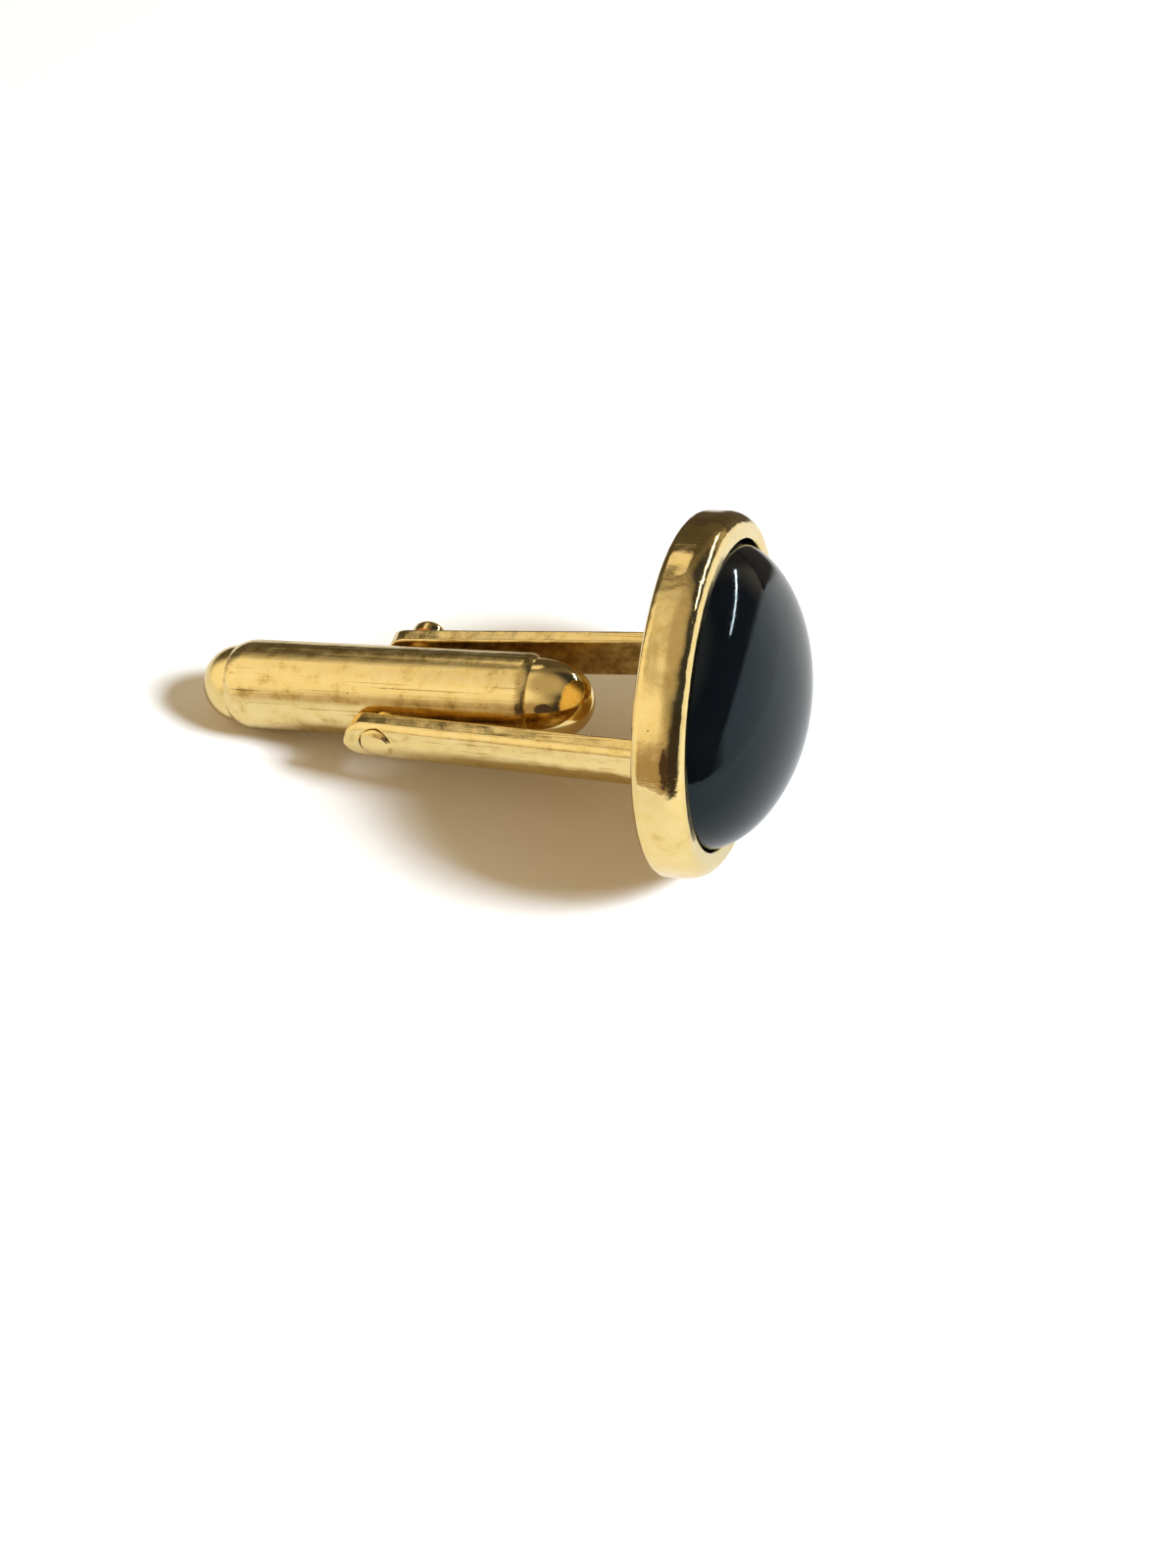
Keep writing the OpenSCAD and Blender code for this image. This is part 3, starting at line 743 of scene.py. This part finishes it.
def onyxMaterial(mat, settings):
    tree, shader = openMaterial(mat)
    vector = postCoordinates(tree)
    cloud = noiseNode(tree, (-500, 200), vector, settings["cloudScale"], 4)
    stops = [(0.3, settings["dark"]), (0.75, settings["cloud"])]
    link(tree, rampNode(tree, (-250, 200), cloud, stops), shader.inputs["Base Color"])
    fine = noiseNode(tree, (-500, -100), vector, settings["fineScale"], 6)
    low, high = settings["rough"]
    rough = rampNode(tree, (-250, -100), fine, [(0.35, low), (0.75, high)])
    link(tree, rough, shader.inputs["Roughness"])
    bumpShader(tree, fine, settings["bump"], grainDepth, shader)
    setInputs(shader, {"IOR": settings["ior"], "Specular Tint": (*settings["sheen"], 1)})


def grainyMaterial(mat, settings):
    tree, shader = openMaterial(mat)
    shader.inputs["Metallic"].default_value = settings["metal"]
    grain = noiseNode(tree, (-500, 0), postCoordinates(tree), settings["grain"], 6)
    stops = [(0.3, settings["dark"]), (0.7, settings["pale"])]
    link(tree, rampNode(tree, (-250, 200), grain, stops), shader.inputs["Base Color"])
    low, high = settings["rough"]
    rough = rampNode(tree, (-250, -100), grain, [(0.3, low), (0.7, high)])
    link(tree, rough, shader.inputs["Roughness"])
    bumpShader(tree, grain, settings["bump"], grainDepth, shader)


onyxMaterial(onyxMat, onyx)
grainyMaterial(steelMat, steel)
cementMat = bpy.data.materials.new("cementBed")
grainyMaterial(cementMat, cement)

for piece, mat in ((bezel, headGold), (nearArm, armGold), (farArm, armGold), (rivet, tipGold),
                   (barrel, tubeGold), (noseCap, capGold), (tailCap, tipGold), (gem, onyxMat),
                   (springCoil, steelMat)):
    piece.data.materials.clear()
    piece.data.materials.append(mat)
for name, mat in (("back_plate", plateGold), ("stone_cement", cementMat), ("detent_plunger", steelMat)):
    for held in frame["nodes"][name].material_slots:
        held.material = mat
print("materials done")


# from here on, sizes are in metres
# the table is a white sheet: its warm colour under the cool window lamp keeps the light part white
# and the shadows warm
# in mirror images the sheet's colour is darkened as painted shade, and a painted dark reflection of the other
# cufflink and its shadow lies behind the part
table = {"half": 2.5, "colour": (0.87, 0.75, 0.56), "fibre": 900, "fibreShade": 0.985, "roughness": 0.75,
         "specular": 0.15, "mirror": (0.60, 0.52, 0.39), "twinShade": (0.054, 0.035, 0.018), "slope": 1.88,
         "backEdge": (0.026, 0.038), "slantEdge": (-0.005, 0.004), "fade": (0.07, 0.17)}


def tableMaterial(settings):
    mat = bpy.data.materials.new("paperWhite")
    tree, shader = openMaterial(mat)
    setInputs(shader, {"Roughness": settings["roughness"], "Specular IOR Level": settings["specular"]})
    spot = addNode(tree, "ShaderNodeTexCoord", (-1300, 0)).outputs["Object"]
    rays = addNode(tree, "ShaderNodeLightPath", (-1100, -950)).outputs
    pale = settings["colour"]
    shaded = tuple(v * settings["fibreShade"] for v in pale)
    fibre = noiseNode(tree, (-500, 0), spot, settings["fibre"])
    paper = rampNode(tree, (-250, 0), fibre, [(0.3, shaded), (0.7, pale)])

    # in mirror images the sheet takes a darker colour, as painted shade, and beyond its back and slanting
    # edges a painted dark reflection of the pair's other cufflink and its shadow shows
    place = addNode(tree, "ShaderNodeSeparateXYZ", (-1100, -300))
    link(tree, spot, place.inputs[0])
    turned = mathNode(tree, "MULTIPLY", (-900, -550), place.outputs[0], settings["slope"])
    slant = mathNode(tree, "SUBTRACT", (-700, -550), place.outputs[1], turned)
    beyond = mathNode(tree, "MULTIPLY", (-300, -400),
                      rangeNode(tree, (-500, -300), place.outputs[1], *settings["backEdge"]),
                      rangeNode(tree, (-500, -550), slant, *settings["slantEdge"]))
    behind = mixNode(tree, (-100, -250), beyond, settings["mirror"], settings["twinShade"])
    base = mixNode(tree, (150, -100), rays["Is Glossy Ray"], paper, behind)
    link(tree, base, shader.inputs["Base Color"])

    # far from the part the sheet shows plain white, to the camera and in mirror images
    apart = addNode(tree, "ShaderNodeVectorMath", (-700, -800), operation="LENGTH")
    link(tree, spot, apart.inputs[0])
    far = rangeNode(tree, (-500, -800), apart.outputs["Value"], *settings["fade"])
    eye = mathNode(tree, "ADD", (-500, -1050), rays["Is Camera Ray"], rays["Is Glossy Ray"], True)
    # the painted dark reflection behind the part stays dark in mirror images
    twinShade = mathNode(tree, "MULTIPLY", (-100, -600), beyond, rays["Is Glossy Ray"])
    shown = mathNode(tree, "MULTIPLY", (-100, -850), far, eye)
    shown = mathNode(tree, "MULTIPLY", (300, -750), shown,
                     mathNode(tree, "SUBTRACT", (100, -600), 1.0, twinShade))
    plain = addNode(tree, "ShaderNodeEmission", (600, -700))
    plain.inputs["Color"].default_value = (1, 1, 1, 1)
    blend = addNode(tree, "ShaderNodeMixShader", (950, -200))
    for socket, value in zip(blend.inputs, (shown, shader.outputs[0], plain.outputs[0])):
        link(tree, value, socket)
    link(tree, blend.outputs[0], tree.nodes["Material Output"].inputs["Surface"])
    return mat


half = table["half"]
sheetMesh = bpy.data.meshes.new("tableTop")
corners = [(-half, -half, 0), (half, -half, 0), (half, half, 0), (-half, half, 0)]
sheetMesh.from_pydata(corners, [], [(0, 1, 2, 3)])
floor = addObject("tableTop", sheetMesh)
sheetMesh.materials.append(tableMaterial(table))

# the room: its light from the horizon up, and over it round patches of light and shade, each at an
# azimuth and height, of which the later ones cover the earlier ones
room = [(0.0, (0.54, 0.44, 0.30)), (0.3, (0.63, 0.52, 0.36)), (0.62, (0.56, 0.46, 0.32)),
        (0.85, (0.40, 0.33, 0.23)), (1.0, (0.40, 0.33, 0.23))]
patches = [
    {"at": (-105, 38), "inner": 22, "outer": 62, "colour": (1.05, 0.95, 0.77)},  # bright left side
    {"at": (70, 42), "inner": 40, "outer": 62, "colour": (0.04, 0.04, 0.045)},  # dark right wall
    {"at": (0, 90), "inner": 14, "outer": 42, "colour": (0.50, 0.42, 0.30)},  # dim ceiling
    {"at": (75, -35), "inner": 54, "outer": 58, "colour": (1.0, 1.0, 1.0)},  # bright low band
    {"at": (135, 16), "inner": 19, "outer": 40, "colour": (0.045, 0.035, 0.03)},  # dark at the front right
    {"at": (-27, 9), "inner": 26, "outer": 53, "colour": (0.09, 0.075, 0.05)},  # dark behind the part
    {"at": (-27, 34), "inner": 4, "outer": 11, "colour": (0.95, 0.84, 0.66)},  # small light spot over it
    {"at": (0, 0), "inner": 10, "outer": 20, "colour": (0.11, 0.085, 0.05)},
    {"at": (-170, 12), "inner": 10, "outer": 28, "colour": (0.42, 0.31, 0.20)},  # brown on the camera's side
    {"at": (173, 19), "inner": 14, "outer": 18, "colour": (0.07, 0.045, 0.04)},  # dark spot in it
]


def toward(azimuth, height):
    # direction from an azimuth (0 is +Y, 90 is +X) and a height over the table, in degrees
    a, h = math.radians(azimuth), math.radians(height)
    return Vector((math.sin(a) * math.cos(h), math.cos(a) * math.cos(h), math.sin(h)))


def roomLight(stops, lobes):
    world = bpy.data.worlds.new("softStudio")
    bpy.context.scene.world = world
    world.use_nodes = True
    tree = world.node_tree
    coords = addNode(tree, "ShaderNodeTexCoord", (-1300, 0)).outputs["Generated"]
    height = addNode(tree, "ShaderNodeSeparateXYZ", (-1100, 200))
    link(tree, coords, height.inputs[0])
    colour = rampNode(tree, (-900, 200), height.outputs[2], stops, "EASE")
    for k, lobe in enumerate(lobes):
        dot = addNode(tree, "ShaderNodeVectorMath", (-900, -200 * k - 100), operation="DOT_PRODUCT")
        link(tree, coords, dot.inputs[0])
        dot.inputs[1].default_value = toward(*lobe["at"])
        outer, inner = (math.cos(math.radians(lobe[key])) for key in ("outer", "inner"))
        share = rangeNode(tree, (-700, -200 * k - 100), dot.outputs["Value"], outer, inner)
        colour = mixNode(tree, (-450, -200 * k), share, colour, lobe["colour"])
    # the camera sees a plain white room behind the table
    camera = addNode(tree, "ShaderNodeLightPath", (-450, 450)).outputs["Is Camera Ray"]
    background = tree.nodes["Background"]
    link(tree, mixNode(tree, (-200, 200), camera, colour, (1, 1, 1)), background.inputs["Color"])
    background.inputs["Strength"].default_value = 1.0


def standing(side, up, back, place):
    # the matrix of a lamp or camera that looks away from its back axis
    turned = Matrix((side, up, back)).transposed().to_4x4()
    turned.translation = place
    return turned


def areaLamp(name, place, settings, along=(0, 0, 1)):
    # a rectangle that faces the part, its long side in line with the direction given
    data = bpy.data.lights.new(name, "AREA")
    data.shape = "RECTANGLE"
    data.size, data.size_y = settings["size"]
    data.energy = settings["power"]
    data.color = settings["colour"]
    lamp = addObject(name, data)
    back = place.normalized()
    side = Vector(along).cross(back).normalized()
    lamp.matrix_world = standing(side, back.cross(side), back, place)
    return lamp


window = {"at": (97, 42), "apart": 0.5, "size": (0.13, 0.13), "power": 7.45, "colour": (0.535, 0.685, 1.0)}
narrow = {"from": (15, 15), "to": (58, 37), "apart": 0.5, "size": (0.010, 0.36), "power": 0.30,
          "colour": (0.94, 0.97, 1.0)}
view = {"place": (0.022574, -0.0632, 0.0709), "forward": (-0.1807, 0.6533, -0.7352),
        "right": (0.9638, 0.2666, 0), "lens": 42.03, "sensor": 36, "clip": 0.002}

roomLight(room, patches)
windowLamp = areaLamp("keyWindow", toward(*window["at"]) * window["apart"], window)
windowLamp.visible_glossy = False  # its mirror image on stone and gold comes from the narrow lamp
ends = [toward(*narrow[key]) for key in ("from", "to")]
areaLamp("windowSlot", (ends[0] + ends[1]) * (narrow["apart"] / 2), narrow, ends[1] - ends[0])

forward, right = Vector(view["forward"]).normalized(), Vector(view["right"]).normalized()
cam = bpy.data.cameras.new("photoView")
cam.sensor_width, cam.sensor_fit, cam.lens = view["sensor"], "AUTO", view["lens"]
cam.clip_start = view["clip"]
shooter = addObject("photoView", cam)
shooter.matrix_world = standing(right, right.cross(forward), -forward, view["place"])
bpy.context.scene.camera = shooter
bpy.context.scene.view_settings.view_transform = "Standard"
print("studio done")
